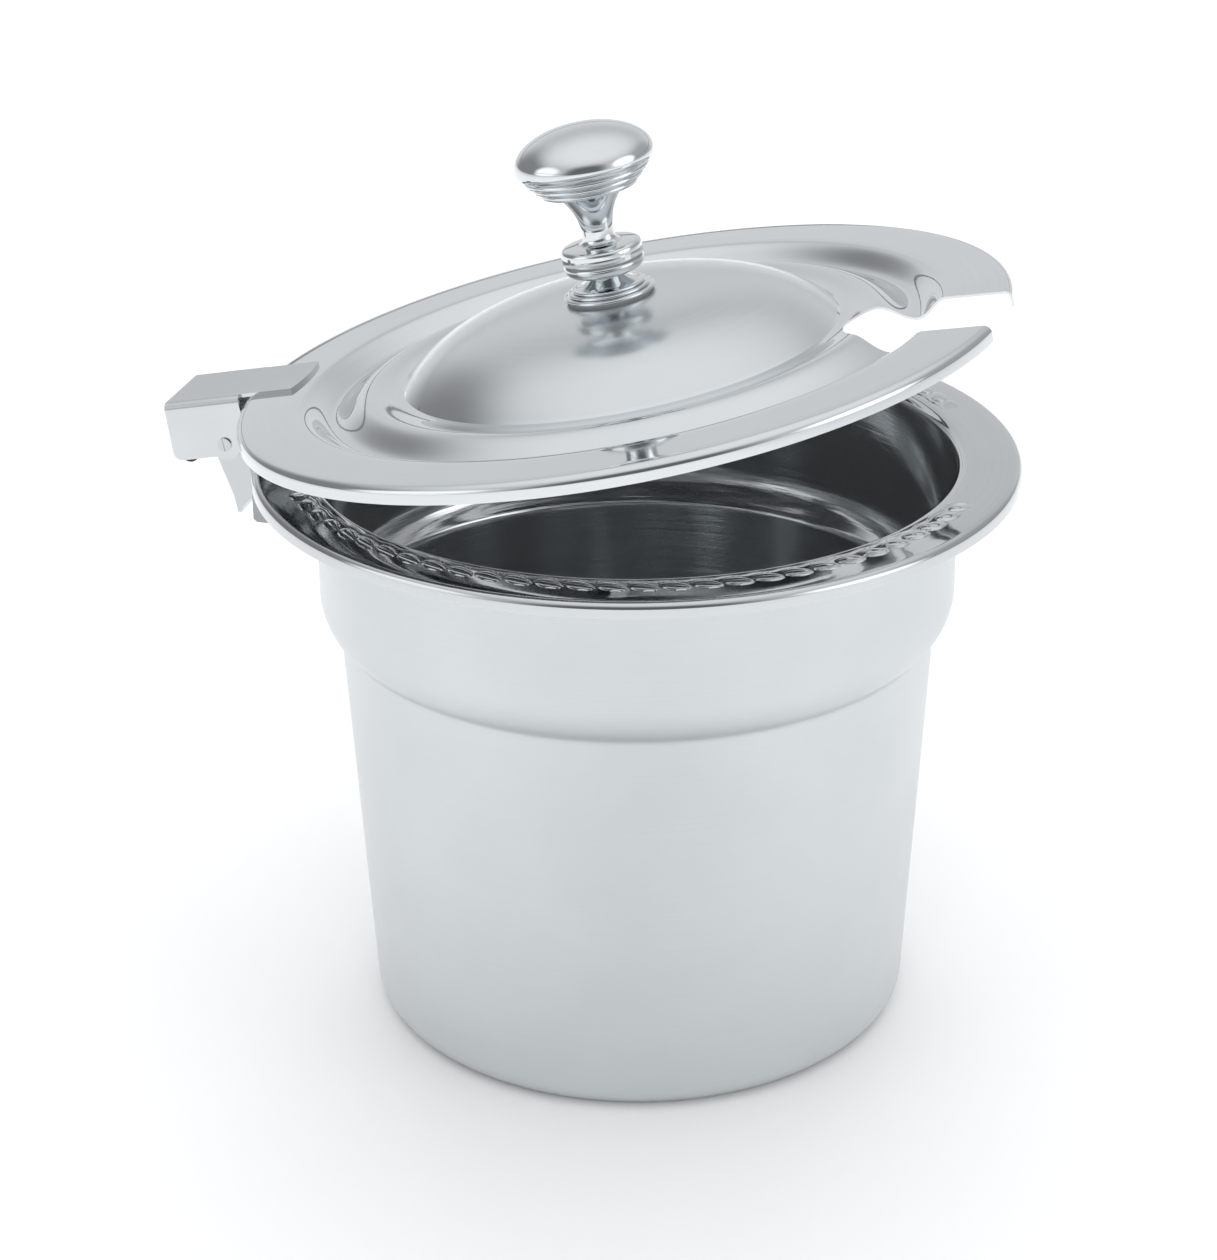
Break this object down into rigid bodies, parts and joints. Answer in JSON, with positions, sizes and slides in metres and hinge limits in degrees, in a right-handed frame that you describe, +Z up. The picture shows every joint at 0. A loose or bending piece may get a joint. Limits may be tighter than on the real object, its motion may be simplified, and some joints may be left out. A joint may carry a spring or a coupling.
{
  "type": "soup kettle",
  "caption": "Round stainless steel soup kettle with a wide rim, a shoulder, and a hinged domed lid with a ladle notch and a turned knob.",
  "frame": {"origin": "centre of the underside of the kettle's base, on the kettle's axis", "axes": "+Z up along the kettle's axis, +Y towards the lid hinge, -Y towards the ladle notch"},
  "size_m": [0.2566, 0.2867, 0.308],
  "materials": {
    "satin_steel": "drawn stainless steel, satin outside, polished at the rim and inside",
    "polished_steel": "mirror-polished stainless steel",
    "hinge_steel": "pressed stainless plate, polished",
    "plain_steel": "plain steel fixings",
    "black_rubber": "matt black rubber",
    "fibre": "dark fibre gasket"
  },
  "bodies": {
    "kettle": {"kettle_body": "satin_steel", "rim_clip": "hinge_steel", "clip_jaw": "hinge_steel", "clip_screws": "plain_steel", "hinge_sleeve": "plain_steel"},
    "lid": {"lid_shell": "polished_steel", "hinge_hood": "hinge_steel", "hinge_pin": "plain_steel", "pin_retainer": "plain_steel", "hinge_washers": "plain_steel", "stop_rod": "plain_steel", "stop_bumper": "black_rubber", "knob_cap": "polished_steel", "knob_stem": "polished_steel", "knob_seam_ring": "fibre", "knob_foot": "polished_steel", "knob_gasket": "fibre", "knob_stud": "plain_steel", "knob_washer": "plain_steel", "knob_nut": "plain_steel"}
  },
  "joints": [
    {"name": "lid_hinge", "type": "hinge", "parent": "kettle", "child": "lid", "pos_m": [0, 0.1385, 0.195], "axis": [-1, 0, 0], "range_deg": [-12.7, 61]}
  ]
}
